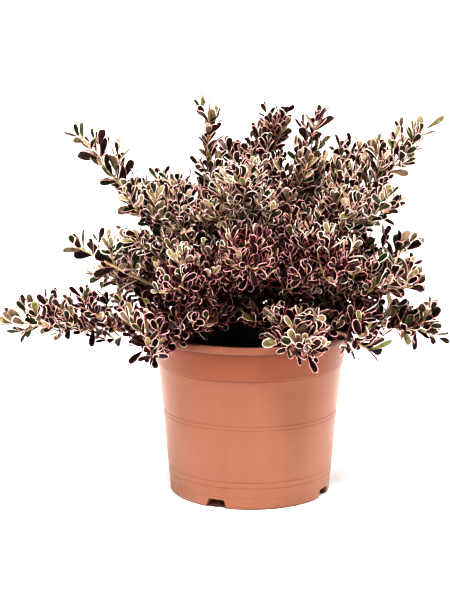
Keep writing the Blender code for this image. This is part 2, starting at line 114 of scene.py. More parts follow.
inside_outline = [
    (0.0, 0.0022), (0.0696, 0.0022), (0.0740, 0.0062), (0.0849, 0.1227), (0.0862, 0.1245),
    (0.0885, 0.1500), (0.0890, 0.1545)]
lip_outline = (
    rounded(0.0904, RIM_TOP - LIP_ROUND, LIP_ROUND, 135, 90, 2)
    + rounded(0.0936, RIM_TOP - LIP_ROUND, LIP_ROUND, 90, 15, 5)
    + [(0.09485, 0.1533)]
    + rounded(RIM_RADIUS - LIP_FOOT_ROUND, LIP_FOOT, LIP_FOOT_ROUND, 5, -80, 4))
band_outline = (
    [(0.0928, 0.1495), (0.0921, 0.1485), (0.0918, 0.1470), (0.0905, 0.1400), (0.0893, 0.1320)]
    + rounded(0.0876, BAND_FOOT, BAND_FOOT_ROUND, 15, -75, 3)
    + [(0.0869, 0.1237), (0.0866, 0.1226)])
wall_outline = (
    [(0.0852, 0.1080), (0.0837, 0.0920)]
    + groove(0.08265, 0.0805, 0.00038)
    + groove(0.08235, 0.0767, 0.00034)
    + [(0.0812, 0.0650), (0.0795, 0.0450), (0.0781, 0.0300)]
    + groove(0.07775, 0.0263, 0.00040)
    + groove(0.07725, 0.0207, 0.00040)
    + [(0.0767, 0.0157)]
    + groove(0.07625, 0.0112, 0.00026, 0.0006)
    + [(0.0759, 0.0080)])
foot_outline = rounded(0.0728, FOOT_ROUND, FOOT_ROUND, 10, -90, 6) + [(0.0690, 0.0), (0.0, 0.0)]
pot_outline = inside_outline + lip_outline + band_outline + wall_outline + foot_outline
pot = put_in_scene("pot_moulding", mesh_of("pot_moulding", turned(pot_outline, POT_STEPS)))

# A roof starts inside the floor and ends inside the wall. A recess runs out past both.
RECESS_AZIMUTHS = [math.radians(-115.0 + 90.0 * i) for i in range(4)]
RECESS_HEIGHT = 0.0085
RECESS_TOP_HALF = 0.0075
RECESS_FOOT_HALF = 0.01125
RECESS_CORNER = 0.0014
RECESS_INNER = 0.0520
RECESS_OUTER = 0.0820
RECESS_FOOT = -0.0010
ROOF = 0.0018
ROOF_OUTER = 0.0720
ROOF_FOOT = 0.0011
SHARP_ANGLE = math.radians(32.0)


def recess_block(name, azimuth, inner, outer, foot, top, grow):
    """A block with leaning sides, turned to its azimuth, that roofs or cuts one drain recess."""
    bm = bmesh.new()
    bmesh.ops.create_cube(bm, size=1.0)
    for vert in bm.verts:
        is_high = vert.co.z > 0
        half = (RECESS_TOP_HALF if is_high else RECESS_FOOT_HALF) + grow
        vert.co = Vector((
            outer if vert.co.x > 0 else inner, math.copysign(half, vert.co.y),
            top if is_high else foot))
    upright = [edge for edge in bm.edges if abs(edge.verts[0].co.z - edge.verts[1].co.z) > WELD]
    bmesh.ops.bevel(
        bm, geom=upright, offset=RECESS_CORNER, offset_type="OFFSET", segments=3, profile=0.5,
        affect="EDGES", material=-1)
    bmesh.ops.rotate(bm, verts=bm.verts, matrix=Matrix.Rotation(azimuth, 3, "Z"))
    return put_in_scene(name, mesh_of(name, bm))


recess_blocks = []
for azimuth in RECESS_AZIMUTHS:
    roof = recess_block(
        "roof", azimuth, RECESS_INNER - ROOF, ROOF_OUTER, ROOF_FOOT, RECESS_HEIGHT + ROOF, ROOF)
    recess = recess_block(
        "recess", azimuth, RECESS_INNER, RECESS_OUTER, RECESS_FOOT, RECESS_HEIGHT, 0.0)
    recess_blocks += [(roof, "UNION"), (recess, "DIFFERENCE")]
for block, operation in recess_blocks:
    step = pot.modifiers.new(block.name, "BOOLEAN")
    step.operation = operation
    step.object = block
    step.solver = "EXACT"
bpy.context.view_layer.update()
pot_mesh = bpy.data.meshes.new_from_object(pot.evaluated_get(bpy.context.evaluated_depsgraph_get()))
pot.modifiers.clear()
pot.data = pot_mesh
for block, operation in recess_blocks:
    bpy.data.objects.remove(block)
pot_mesh.shade_smooth()
pot_mesh.set_sharp_from_angle(angle=SHARP_ANGLE)

# The plastic's tint for each height is painted shade: darker and warmer up the wall and the band,
# where the foliage overhangs them, with painted shadow lines under the band and under the lip,
# then lighter again on the lip, which is still a little shaded.
TINTS_FROM = 0.060
TINTS_TO = 0.160
LIP_SHADE = (0.84, 0.82, 0.86)
BAND_SHADOW_LINE = (0.74, 0.52, 0.42)
LIP_SHADOW_LINE = (0.42, 0.22, 0.15)
PAINTED_SHADE_BY_HEIGHT = (
    (0.0950, (0.99, 0.95, 0.93)), (0.1222, (0.95, 0.87, 0.83)), (0.1227, BAND_SHADOW_LINE),
    (0.1236, BAND_SHADOW_LINE), (0.1243, (0.85, 0.65, 0.51)), (0.1440, (0.80, 0.54, 0.38)),
    (0.1474, (0.68, 0.40, 0.28)), (0.1484, LIP_SHADOW_LINE), (0.1496, LIP_SHADOW_LINE), (0.1500, LIP_SHADE))


def colour_ramp(tree, first, dark, last, light):
    """A ramp node from the colour dark at first to the colour light at last."""
    ramp = tree.nodes.new("ShaderNodeValToRGB")
    for stop, position, colour in zip(ramp.color_ramp.elements, (first, last), (dark, light)):
        stop.position = position
        stop.color = (*colour, 1.0)
    return ramp


def connect(tree, *joins):
    """Link nodes: each join is an output and the input that it feeds."""
    for source, target in joins:
        tree.links.new(source, target)


pot_plastic = bpy.data.materials.new("terracotta plastic")
pot_plastic.use_nodes = True
tree = pot_plastic.node_tree
shader = tree.nodes["Principled BSDF"]
shader.inputs["Specular IOR Level"].default_value = 0.22
shader.inputs["Sheen Weight"].default_value = 0.16
shader.inputs["Sheen Roughness"].default_value = 0.35
shader.inputs["Sheen Tint"].default_value = (1.0, 0.84, 0.66, 1.0)
place = tree.nodes.new("ShaderNodeTexCoord")
stretch = tree.nodes.new("ShaderNodeMapping")
stretch.inputs["Scale"].default_value = (1.0, 1.0, 0.16)
streaks = tree.nodes.new("ShaderNodeTexNoise")
streaks.inputs["Scale"].default_value = 70.0
streaks.inputs["Detail"].default_value = 5.0
streaks.inputs["Roughness"].default_value = 0.6
streak_colour = colour_ramp(tree, 0.30, (0.161, 0.0615, 0.0338), 0.72, (0.177, 0.0692, 0.0382))
clouds = tree.nodes.new("ShaderNodeTexNoise")
clouds.inputs["Scale"].default_value = 16.0
clouds.inputs["Detail"].default_value = 3.0
cloud_share = tree.nodes.new("ShaderNodeMapRange")
cloud_share.inputs["From Min"].default_value = 0.40
cloud_share.inputs["From Max"].default_value = 0.75
cloud_share.inputs["To Max"].default_value = 0.55
plastic_colour = tree.nodes.new("ShaderNodeMix")
plastic_colour.data_type = "RGBA"
plastic_colour.inputs["B"].default_value = (0.187, 0.0773, 0.0434, 1.0)
height = tree.nodes.new("ShaderNodeSeparateXYZ")
height_share = tree.nodes.new("ShaderNodeMapRange")
height_share.inputs["From Min"].default_value = TINTS_FROM
height_share.inputs["From Max"].default_value = TINTS_TO
# A ramp of painted shade by height, white where the wall is unshaded.
painted_shade_ramp = colour_ramp(tree, 0.0, (1.0, 1.0, 1.0), 1.0, LIP_SHADE)
for tint_height, tint in PAINTED_SHADE_BY_HEIGHT:
    stop = painted_shade_ramp.color_ramp.elements.new((tint_height - TINTS_FROM) / (TINTS_TO - TINTS_FROM))
    stop.color = (*tint, 1.0)
# The plastic's colour multiplied by the painted shade for its height.
shaded_plastic = tree.nodes.new("ShaderNodeMix")
shaded_plastic.data_type = "RGBA"
shaded_plastic.blend_type = "MULTIPLY"
shaded_plastic.inputs["Factor"].default_value = 1.0
gloss = tree.nodes.new("ShaderNodeMapRange")
gloss.inputs["To Min"].default_value = 0.42
gloss.inputs["To Max"].default_value = 0.60
grain = tree.nodes.new("ShaderNodeTexNoise")
grain.inputs["Scale"].default_value = 900.0
grain.inputs["Detail"].default_value = 2.0
bump = tree.nodes.new("ShaderNodeBump")
bump.inputs["Strength"].default_value = 0.10
bump.inputs["Distance"].default_value = 0.0002
connect(
    tree,
    (place.outputs["Object"], stretch.inputs["Vector"]),
    (stretch.outputs["Vector"], streaks.inputs["Vector"]),
    (streaks.outputs["Fac"], streak_colour.inputs["Fac"]),
    (streak_colour.outputs["Color"], plastic_colour.inputs["A"]),
    (place.outputs["Object"], clouds.inputs["Vector"]),
    (clouds.outputs["Fac"], cloud_share.inputs["Value"]),
    (cloud_share.outputs["Result"], plastic_colour.inputs["Factor"]),
    (place.outputs["Object"], height.inputs["Vector"]),
    (height.outputs["Z"], height_share.inputs["Value"]),
    (height_share.outputs["Result"], painted_shade_ramp.inputs["Fac"]),
    (painted_shade_ramp.outputs["Color"], shaded_plastic.inputs["B"]),
    (plastic_colour.outputs["Result"], shaded_plastic.inputs["A"]),
    (shaded_plastic.outputs["Result"], shader.inputs["Base Color"]),
    (streaks.outputs["Fac"], gloss.inputs["Value"]),
    (gloss.outputs["Result"], shader.inputs["Roughness"]),
    (place.outputs["Object"], grain.inputs["Vector"]),
    (grain.outputs["Fac"], bump.inputs["Height"]),
    (bump.outputs["Normal"], shader.inputs["Normal"]))
pot_mesh.materials.clear()
pot_mesh.materials.append(pot_plastic)
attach(pot, "root")
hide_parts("pot")


# Soil: a dark peaty potting mix, filled to a finger's width under the rim, flat in the middle and
# sloping to the wall. Its surface is crumbly, with paler flecks of fibre and bark on it.
SOIL_TOP = 0.1470
SOIL_EDGE_TOP = 0.1440
SOIL_FLAT_RADIUS = 0.0300
SOIL_WALL_RADIUS = 0.0873
SOIL_RINGS = 34
SOIL_STEPS = 112
SOIL_LUMPS = 0.0011
FINE_LUMPS = 180.0
COARSE_LUMPS = 60.0
COARSE_SHARE = 0.5

# The lumps are above this height and this far from the wall. Low down, between these radii, the
# soil lies over the roofs of the drain recesses.
LUMPS_ABOVE = 0.140
SMOOTH_RIM = 0.0005
ROOFS_BELOW = 0.020
ROOFS_FROM = 0.049
ROOFS_TO = 0.0745
SOIL_OVER_ROOF = 0.0006


def soil_height(radius):
    """The height of the soil's surface at this distance from the pot's axis."""
    fall = max(0.0, (radius - SOIL_FLAT_RADIUS) / (SOIL_WALL_RADIUS - SOIL_FLAT_RADIUS))
    return SOIL_TOP + (SOIL_EDGE_TOP - SOIL_TOP) * fall


surface_radii = [SOIL_WALL_RADIUS * i / SOIL_RINGS for i in range(SOIL_RINGS + 1)]
soil_outline = [(radius, soil_height(radius)) for radius in surface_radii]
soil_outline += [(0.0856, 0.1240), (0.0734, 0.0070), (0.0690, 0.0028), (0.0, 0.0028)]
bm = turned(soil_outline, SOIL_STEPS)
for vert in bm.verts:
    reach = math.hypot(vert.co.x, vert.co.y)
    is_on_top = vert.co.z > LUMPS_ABOVE and reach < SOIL_WALL_RADIUS - SMOOTH_RIM
    is_over_roof = vert.co.z < ROOFS_BELOW and ROOFS_FROM < reach < ROOFS_TO
    if is_on_top:
        fine = noise.fractal(vert.co * FINE_LUMPS, 1.0, 2.0, 4)
        rough = fine + COARSE_SHARE * noise.noise(vert.co * COARSE_LUMPS)
        vert.co.z += SOIL_LUMPS * rough
    elif is_over_roof:
        vert.co.z = max(vert.co.z, RECESS_HEIGHT + ROOF + SOIL_OVER_ROOF)
soil_mesh = mesh_of("soil_fill", bm)
soil_mesh.shade_smooth()
soil = put_in_scene("soil_fill", soil_mesh)


def plain_finish(name, dark, light, scale, roughness, specular, grain_depth=0.0):
    """A finish that varies from dark to light in patches, with a fine grain where it has one."""
    made = bpy.data.materials.new(name)
    made.use_nodes = True
    tree = made.node_tree
    shader = tree.nodes["Principled BSDF"]
    shader.inputs["Roughness"].default_value = roughness
    shader.inputs["Specular IOR Level"].default_value = specular
    place = tree.nodes.new("ShaderNodeTexCoord")
    patches = tree.nodes.new("ShaderNodeTexNoise")
    patches.inputs["Scale"].default_value = scale
    patches.inputs["Detail"].default_value = 3.0
    patch_colour = colour_ramp(tree, 0.35, dark, 0.68, light)
    connect(
        tree,
        (place.outputs["Object"], patches.inputs["Vector"]),
        (patches.outputs["Fac"], patch_colour.inputs["Fac"]),
        (patch_colour.outputs["Color"], shader.inputs["Base Color"]))
    if grain_depth:
        bump = tree.nodes.new("ShaderNodeBump")
        bump.inputs["Strength"].default_value = 0.6
        bump.inputs["Distance"].default_value = grain_depth
        connect(
            tree,
            (patches.outputs["Fac"], bump.inputs["Height"]),
            (bump.outputs["Normal"], shader.inputs["Normal"]))
    return made


soil_mesh.materials.append(plain_finish(
    "peat", (0.006, 0.004, 0.003), (0.032, 0.021, 0.014), scale=420.0, roughness=0.9,
    specular=0.2, grain_depth=0.0008))
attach(soil, "root")
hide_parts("soil")

CRUMBS = 1500
PALE_EVERY = 7
CRUMB_SIZES = (0.0008, 0.0024)
FLECK_SIZES = (0.0006, 0.0013)
CRUMB_WIDTHS = (0.4, 1.0)
CRUMB_HEIGHTS = (0.4, 0.8)
CRUMB_LIFT = 0.0004
CRUMB_TILT = 0.7
WALL_GAP = 0.0030
UP = Vector((0.0, 0.0, 1.0))

rng = random.Random(11)
bm = bmesh.new()
for i in range(CRUMBS):
    reach = (SOIL_WALL_RADIUS - WALL_GAP) * math.sqrt(rng.random())
    azimuth = rng.uniform(0, math.tau)
    centre = Vector((reach * math.cos(azimuth), reach * math.sin(azimuth), soil_height(reach)))
    is_pale = i % PALE_EVERY == 0
    size = rng.uniform(*(FLECK_SIZES if is_pale else CRUMB_SIZES))
    width = size * rng.uniform(*CRUMB_WIDTHS)
    height = size * rng.uniform(*CRUMB_HEIGHTS)
    shape = Matrix.Diagonal((size, width, height, 1.0))
    turn = Matrix.Rotation(rng.uniform(0, math.tau), 4, "Z")
    tilt = Matrix.Rotation(rng.uniform(-CRUMB_TILT, CRUMB_TILT), 4, "X")
    made = bmesh.ops.create_icosphere(
        bm, subdivisions=1, radius=1.0,
        matrix=Matrix.Translation(centre + UP * CRUMB_LIFT) @ turn @ tilt @ shape)
    for face in {face for vert in made["verts"] for face in vert.link_faces}:
        face.material_index = int(is_pale)
crumb_mesh = mesh_of("soil_crumbs", bm)
crumb_mesh.materials.append(plain_finish(
    "peat crumb", (0.018, 0.012, 0.008), (0.090, 0.060, 0.038), scale=300.0, roughness=0.9,
    specular=0.2))
crumb_mesh.materials.append(plain_finish(
    "pale fleck", (0.16, 0.11, 0.07), (0.42, 0.33, 0.24), scale=200.0, roughness=0.8,
    specular=0.3))
crumbs = put_in_scene("soil_crumbs", crumb_mesh)
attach(crumbs, "root")


# Stem and boughs: a short woody stem that flares into the soil, and thin boughs that spring from it
# and run on through the foliage. Grey-brown fissured bark low down turns to smooth tan outwards,
# with a ring at each place where leaves have been.
TRUNK_HEIGHT = 0.0600
TRUNK_LEAN = Vector((-0.0040, -0.0020, 0.0))
TRUNK_RADIUS = 0.0072
TRUNK_TAPER = 0.0026
FLARE = 0.0038
FLARE_HEIGHT = 0.0100
TRUNK_FOOT = -0.0040
TRUNK_STEP = 0.0016
TRUNK_STEPS = 40
BOUGH_RADIUS = 0.0021
BOUGH_TIP_RADIUS = 0.0015
STEM_TIP_RADIUS = 0.0008
TIP_GROWTH = 0.0090
NODE_STEP = 0.0034
NODE_SWELL = 1.14
LIMB_STEPS = 20
LEAF_SCALE = 1.38

# Each row: name, side of the crown, height on the stem where the bough springs, azimuth, reach and
# height of the end of the mass, rise of the bough at its root in degrees, share of the path that is
# bare bough, spread of the twigs, length of its leaves before LEAF_SCALE.
LIMBS = (
    ("low_left", "left", 0.0080, -172, 0.210, 0.165, 2, 0.30, 0.034, 0.0115),
    ("front_left_low", "left", 0.0070, -137, 0.124, 0.156, 24, 0.34, 0.040, 0.0125),
    ("left_shoot", "left", 0.0200, -173, 0.160, 0.236, 14, 0.58, 0.023, 0.0140),
    ("left_low", "left", 0.0140, 172, 0.094, 0.180, 18, 0.28, 0.042, 0.0110),
    ("upper_left_long", "left", 0.0385, 177, 0.157, 0.334, 35, 0.42, 0.020, 0.0145),
    ("upper_left_short", "left", 0.0450, -168, 0.106, 0.270, 40, 0.30, 0.036, 0.0110),
    ("left_side", "left", 0.0310, -163, 0.106, 0.240, 34, 0.28, 0.044, 0.0110),
    ("top_left", "top", 0.0500, 158, 0.041, 0.360, 57, 0.26, 0.022, 0.0125),
    ("top_mid", "top", 0.0590, 52, 0.040, 0.338, 84, 0.26, 0.032, 0.0110),
    ("top_right_shoot", "top", 0.0510, -4, 0.060, 0.342, 56, 0.28, 0.030, 0.0120),
    ("top_right_mid", "top", 0.0460, 22, 0.110, 0.308, 48, 0.30, 0.038, 0.0115),
    ("upper_right_long", "right", 0.0410, -5, 0.155, 0.337, 38, 0.34, 0.028, 0.0125),
    ("right_mid", "right", 0.0320, -18, 0.122, 0.267, 34, 0.28, 0.044, 0.0110),
    ("right_shoot", "right", 0.0225, 2, 0.150, 0.230, 17, 0.38, 0.025, 0.0135),
    ("right_low", "right", 0.0175, -15, 0.148, 0.202, 20, 0.28, 0.044, 0.0120),
    ("low_right", "right", 0.0070, -8, 0.164, 0.156, 13, 0.32, 0.042, 0.0130),
    ("over_rim_right", "right", 0.0110, -33, 0.118, 0.153, 28, 0.42, 0.036, 0.0145),
    ("front_low_right", "front", 0.0070, -66, 0.108, 0.162, 32, 0.42, 0.034, 0.0140),
    ("front_right", "front", 0.0250, -52, 0.118, 0.228, 34, 0.28, 0.044, 0.0108),
    ("front_mid", "front", 0.0280, -92, 0.106, 0.232, 38, 0.30, 0.044, 0.0100),
    ("front_left", "front", 0.0240, -124, 0.114, 0.210, 30, 0.28, 0.044, 0.0104),
    ("top_front", "front", 0.0500, -98, 0.062, 0.296, 62, 0.28, 0.044, 0.0098),
    ("back_low_left", "back_left", 0.0090, 146, 0.160, 0.190, 20, 0.30, 0.044, 0.0125),
    ("back_left", "back_left", 0.0380, 134, 0.116, 0.264, 46, 0.30, 0.046, 0.0115),
    ("back_low_mid", "back_left", 0.0120, 96, 0.156, 0.192, 22, 0.30, 0.044, 0.0125),
    ("back_mid", "back_right", 0.0440, 92, 0.100, 0.300, 54, 0.30, 0.046, 0.0115),
    ("back_low_right", "back_right", 0.0130, 42, 0.160, 0.188, 20, 0.30, 0.044, 0.0125),
    ("back_right", "back_right", 0.0360, 50, 0.118, 0.272, 46, 0.30, 0.046, 0.0115),
)
FIELDS = "name side spring azimuth reach height rise bare spread leaf".split()


def trunk_axis(height):
    """A point on the leaning axis of the main stem, at this height above the soil."""
    return UP * (SOIL_TOP + height) + TRUNK_LEAN * (height / TRUNK_HEIGHT)


def trunk_radius(height):
    """The main stem's radius at this height above the soil, with its taper and its root flare."""
    above = max(0.0, height)
    flare = max(0.0, 1.0 - above / FLARE_HEIGHT) ** 2
    return TRUNK_RADIUS - TRUNK_TAPER * above / TRUNK_HEIGHT + FLARE * flare


def limb_point(row, share):
    """A point at this share of a limb's path, which runs straight on past its end."""
    root, lead, end = row["line"]
    if share > 1.0:
        return end + (end - lead).normalized() * (share - 1.0) * row["length"]
    return root * (1 - share) ** 2 + lead * 2 * share * (1 - share) + end * share ** 2


def sloping(level, rise):
    """The level direction, tilted up by this angle."""
    return level * math.cos(rise) + UP * math.sin(rise)


rows = []
for values in LIMBS:
    row = dict(zip(FIELDS, values))
    azimuth = math.radians(row["azimuth"])
    end = Vector((math.cos(azimuth), math.sin(azimuth), 0.0)) * row["reach"] + UP * row["height"]
    root = trunk_axis(row["spring"])
    level = Vector((end.x - root.x, end.y - root.y, 0.0)).normalized()
    lead = sloping(level, math.radians(row["rise"])) * (end - root).length / 2
    row["line"] = (root, root + lead, end)
    points = [limb_point(row, i / LIMB_STEPS) for i in range(LIMB_STEPS + 1)]
    row["length"] = sum((b - a).length for a, b in zip(points, points[1:]))
    row["tip"] = 1.0 + TIP_GROWTH / row["length"]
    row["leaf"] *= LEAF_SCALE
    rows.append(row)


def tube_mesh(name, tubes, resolution):
    """One mesh of tapering tubes, each a list of points with their radii, with closed ends."""
    curve = bpy.data.curves.new(name, "CURVE")
    curve.dimensions = "3D"
    curve.bevel_depth = 1.0
    curve.bevel_resolution = resolution
    curve.use_fill_caps = True
    for points, radii in tubes:
        spline = curve.splines.new("POLY")
        spline.points.add(len(points) - 1)
        for target, point, radius in zip(spline.points, points, radii):
            target.co = (*point, 1.0)
            target.radius = radius
    guide = put_in_scene(name, curve)
    bpy.context.view_layer.update()
    mesh = bpy.data.meshes.new_from_object(
        guide.evaluated_get(bpy.context.evaluated_depsgraph_get()))
    bpy.data.objects.remove(guide)
    bm = bmesh.new()
    bm.from_mesh(mesh)
    bmesh.ops.remove_doubles(bm, verts=bm.verts, dist=WELD)
    bmesh.ops.recalc_face_normals(bm, faces=bm.faces)
    bm.to_mesh(mesh)
    bm.free()
    mesh.name = name
    mesh.shade_smooth()
    return mesh


# Bark: how many ridges to the metre across and up the stem, how many grains, how deep they are
# beside the ridges, and the least share of the depth that is left far from the soil.
RIDGES = (900.0, 900.0, 190.0)
GRAINS = 1500.0
GRAIN_SHARE = 0.3
LEAST_BARK = 0.25
TRUNK_BARK = 0.00055
TRUNK_BARK_TOP = 0.120
BOUGH_BARK = 0.00016
BOUGH_BARK_TOP = 0.150


def roughen(mesh, depth, top):
    """Push the bark in and out in upright ridges, as deep as depth at the soil, that fade out
    towards this height above it."""
    bm = bmesh.new()
    bm.from_mesh(mesh)
    bm.normal_update()
    moves = []
    for vert in bm.verts:
        stretched = Vector([axis * ridges for axis, ridges in zip(vert.co, RIDGES)])
        ridge = noise.fractal(stretched, 1.0, 2.0, 3)
        grain = noise.noise(vert.co * GRAINS)
        share = min(1.0, max(LEAST_BARK, (SOIL_TOP + top - vert.co.z) / top))
        moves.append(vert.normal * depth * share * (ridge + GRAIN_SHARE * grain))
    for vert, move in zip(bm.verts, moves):
        vert.co += move
    bm.to_mesh(mesh)
    bm.free()


trunk_heights = [TRUNK_FOOT + TRUNK_STEP * i for i in range(TRUNK_STEPS + 1)]
trunk_line = [trunk_axis(height) for height in trunk_heights]
trunk_radii = [trunk_radius(height) for height in trunk_heights]
trunk_mesh = tube_mesh("stem", [(trunk_line, trunk_radii)], 10)
roughen(trunk_mesh, TRUNK_BARK, TRUNK_BARK_TOP)

bough_tubes = []
for row in rows:
    count = int(row["length"] * row["tip"] / NODE_STEP)
    shares = [row["tip"] * i / count for i in range(count + 1)]
    radii = []
    for i, share in enumerate(shares):
        if share < row["bare"]:
            radius = BOUGH_RADIUS + (BOUGH_TIP_RADIUS - BOUGH_RADIUS) * share / row["bare"]
        else:
            along = (share - row["bare"]) / (row["tip"] - row["bare"])
            radius = BOUGH_TIP_RADIUS + (STEM_TIP_RADIUS - BOUGH_TIP_RADIUS) * along
        radii.append(radius * (NODE_SWELL if i % 2 else 1.0))
    bough_tubes.append(([limb_point(row, share) for share in shares], radii))
bough_mesh = tube_mesh("boughs", bough_tubes, 3)
roughen(bough_mesh, BOUGH_BARK, BOUGH_BARK_TOP)


def bark_finish(name, dark, light, roughness, heart_shade):
    """Bark in long streaks with fine fissures, its colour darkened near the main stem by painted shade
    for the crown's shaded heart.
    """
    made = bpy.data.materials.new(name)
    made.use_nodes = True
    tree = made.node_tree
    shader = tree.nodes["Principled BSDF"]
    shader.inputs["Roughness"].default_value = roughness
    shader.inputs["Specular IOR Level"].default_value = 0.35
    place = tree.nodes.new("ShaderNodeTexCoord")
    stretch = tree.nodes.new("ShaderNodeMapping")
    stretch.inputs["Scale"].default_value = (1.0, 1.0, 0.30)
    streaks = tree.nodes.new("ShaderNodeTexNoise")
    streaks.inputs["Scale"].default_value = 520.0
    streaks.inputs["Detail"].default_value = 5.0
    streak_colour = colour_ramp(tree, 0.32, dark, 0.66, light)
    level = tree.nodes.new("ShaderNodeMapping")
    level.inputs["Scale"].default_value = (1.0, 1.0, 0.0)
    distance = tree.nodes.new("ShaderNodeVectorMath")
    distance.operation = "LENGTH"
    # Painted shade: near the main stem the bark's colour is multiplied by a shade colour, fully within
    # 3 cm of the axis and fading out by 9 cm.
    nearness = tree.nodes.new("ShaderNodeMapRange")
    nearness.inputs["From Min"].default_value = 0.090
    nearness.inputs["From Max"].default_value = 0.030
    shaded_bark = tree.nodes.new("ShaderNodeMix")
    shaded_bark.data_type = "RGBA"
    shaded_bark.blend_type = "MULTIPLY"
    shaded_bark.inputs["B"].default_value = (*heart_shade, 1.0)
    bump = tree.nodes.new("ShaderNodeBump")
    bump.inputs["Strength"].default_value = 0.5
    bump.inputs["Distance"].default_value = 0.0004
    connect(
        tree,
        (place.outputs["Object"], stretch.inputs["Vector"]),
        (stretch.outputs["Vector"], streaks.inputs["Vector"]),
        (streaks.outputs["Fac"], streak_colour.inputs["Fac"]),
        (place.outputs["Object"], level.inputs["Vector"]),
        (level.outputs["Vector"], distance.inputs[0]),
        (distance.outputs["Value"], nearness.inputs["Value"]),
        (nearness.outputs["Result"], shaded_bark.inputs["Factor"]),
        (streak_colour.outputs["Color"], shaded_bark.inputs["A"]),
        (shaded_bark.outputs["Result"], shader.inputs["Base Color"]),
        (streaks.outputs["Fac"], bump.inputs["Height"]),
        (bump.outputs["Normal"], shader.inputs["Normal"]))
    return made


# The trunk is darkened a little by painted shade, the inner ends of the boughs deeply.
trunk_mesh.materials.append(bark_finish(
    "old bark", (0.060, 0.040, 0.028), (0.25, 0.17, 0.11), 0.85, heart_shade=(0.7, 0.7, 0.7)))
stem = put_in_scene("stem_with_bark", trunk_mesh)
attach(stem, "root")
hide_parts("trunk")
bough_mesh.materials.append(bark_finish(
    "young bark", (0.28, 0.18, 0.095), (0.60, 0.43, 0.24), 0.62, heart_shade=(0.20, 0.17, 0.15)))
boughs = put_in_scene("boughs_with_bark", bough_mesh)
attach(boughs, "root")
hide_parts(*["bough_" + row["name"] for row in rows])


# Twigs: thin woody shoots that spring from each bough in a spiral and turn up to the light, the
# long ones forked. They carry the leaves in opposite pairs, each pair at right angles to the last,
# and the leaves at a twig's tip are smaller and stand closer to it.

# Clearances from the pot's rim and wall, and from the soil.
RIM_INSIDE = 0.0880
POT_GAP = 0.0012
SOIL_GAP = 0.0015


def is_clear(point):
    """Whether a point is outside the pot, or above its rim and soil."""
    reach = math.hypot(point.x, point.y)
    if reach > RIM_RADIUS + POT_GAP:
        return True
    return point.z > (RIM_TOP + POT_GAP if reach > RIM_INSIDE else SOIL_TOP + SOIL_GAP)


def is_within(point, limits):
    """Whether a point is inside the box between these two corners."""
    low, high = limits
    return all(low[i] < point[i] < high[i] for i in range(3))


# Colours change from the crown's heart outwards: the darker, rosier mixes in the heart and low
# down are partly the leaves' own colours and partly painted shade. Each mix has the share of the way
# out at which it ends, and the weights of its blades and of its edges. A patch of painted shade has
# a middle and three radii, and its leaves are maroon with wine or rose edges.
MAROON, CHOCOLATE, GREEN, OLIVE, TAN, FRESH = range(6)
# The wine edge is the pink edge in painted shade; the rose edge is partly painted shade.
SHADED_WINE, ROSE, PINK, CREAM = range(6, 10)
CROWN_HEART = Vector((0.0, 0.025, 0.205))
CROWN_SCALE = Vector((0.200, 0.165, 0.120))
HEIGHT_SHARES = (-0.3, 0.5)
OUT_JITTER = 0.15
YOUTH_OUT = 0.35
LEAF_MIXES = (
    (0.58, {MAROON: 60, CHOCOLATE: 24, GREEN: 12, OLIVE: 4}, {SHADED_WINE: 44, ROSE: 42, PINK: 14}),
    (0.92, {MAROON: 18, CHOCOLATE: 28, GREEN: 29, OLIVE: 17, TAN: 8}, {ROSE: 48, PINK: 44, CREAM: 8}),
    (math.inf, {MAROON: 8, CHOCOLATE: 28, GREEN: 26, OLIVE: 23, TAN: 13, FRESH: 2},
     {ROSE: 26, PINK: 54, CREAM: 20}))
PAINTED_SHADE_PATCHES = (
    (Vector((0.028, -0.100, 0.230)), Vector((0.052, 0.062, 0.026))),
    (Vector((-0.050, -0.095, 0.205)), Vector((0.034, 0.050, 0.022))))
PAINTED_SHADE_FADE = (0.75, 1.9)

rng = random.Random(5)
twig_tubes = []
leaves = {side: [] for side in ("left", "right", "front", "top", "back_left", "back_right")}


def outwardness(point):
    """How far out a point is: under 0.6 in the crown's heart and low down near the stem, about 1 at
    the crown's sides and on its top. Height counts for less than reach."""
    x, y, z = [(point[i] - CROWN_HEART[i]) / CROWN_SCALE[i] for i in range(3)]
    low, high = HEIGHT_SHARES
    return math.hypot(x, y) + max(low, min(high, z))


def depth_in_painted_shade(point):
    """Below 1 inside one of the patches of painted shade in the crown's front."""
    return min(
        Vector([(point[i] - middle[i]) / radii[i] for i in range(3)]).length
        for middle, radii in PAINTED_SHADE_PATCHES)


def leaf_look(point, youth):
    """A blade colour and an edge colour: dark and rosy inside, browner and creamier outside; the
    darkness inside is partly painted shade.
    """
    out = outwardness(point) + rng.uniform(-OUT_JITTER, OUT_JITTER) + YOUTH_OUT * youth
    blades, edges = next((blades, edges) for end, blades, edges in LEAF_MIXES if out < end)
    blade = rng.choices(list(blades), list(blades.values()))[0]
    edge = rng.choices(list(edges), list(edges.values()))[0]
    return blade, edge


# Pairs open by these degrees from the tip on down. Each leaf strays from its pair's direction, and
# varies in length and width. Some have a colour of their own, and some at the tip are fresh.
PAIR_OPENINGS = (30, 44, 52, 58)
OPENING_JITTER = 8
LEAF_JITTER = 0.12
LEAF_STRAY = 0.13
FACE_STRAY = 0.28
LEAF_LIFT = 0.32
LEAF_LENGTHS = (0.78, 1.18)
LEAF_WIDTHS = (0.88, 1.12)
LEAF_MIDDLE = 0.6
LEAST_ACROSS = 0.05
OWN_LOOK = 0.5
TIP_YOUTH = 0.5
FRESH_TIP = 0.12


def strayed(direction, amount):
    """The direction, turned aside a little at random."""
    return (direction + Vector([rng.gauss(0.0, amount) for _ in range(3)])).normalized()


